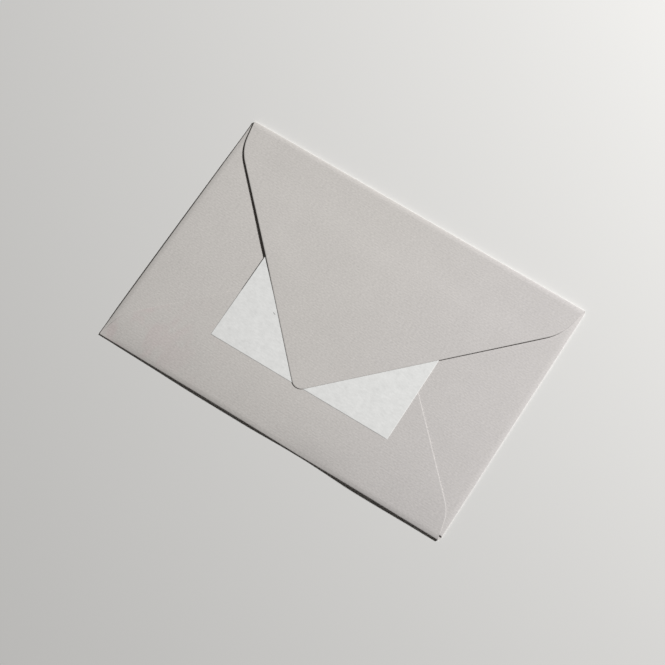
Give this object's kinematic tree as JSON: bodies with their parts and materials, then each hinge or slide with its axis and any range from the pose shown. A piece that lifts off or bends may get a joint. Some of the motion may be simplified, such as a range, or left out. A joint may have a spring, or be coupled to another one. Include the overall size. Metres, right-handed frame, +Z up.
{
  "type": "paper envelope",
  "caption": "Folded paper envelope with a pointed closing flap, lying flap side up with a blank white slip of paper tucked under the flap.",
  "frame": {"origin": "middle of the front panel's outer face, which the envelope lies on", "axes": "+X along the envelope's long side, +Y towards the closing flap's fold, +Z up out of the flap side"},
  "size_m": [0.162, 0.114, 0.0015],
  "materials": {
    "envelope_paper": "matte uncoated warm grey paper, finely laid",
    "slip_paper": "matte soft white paper, faintly cloudy"
  },
  "bodies": {
    "root": {"folded_envelope": "envelope_paper", "white_slip": "slip_paper"}
  },
  "joints": []
}
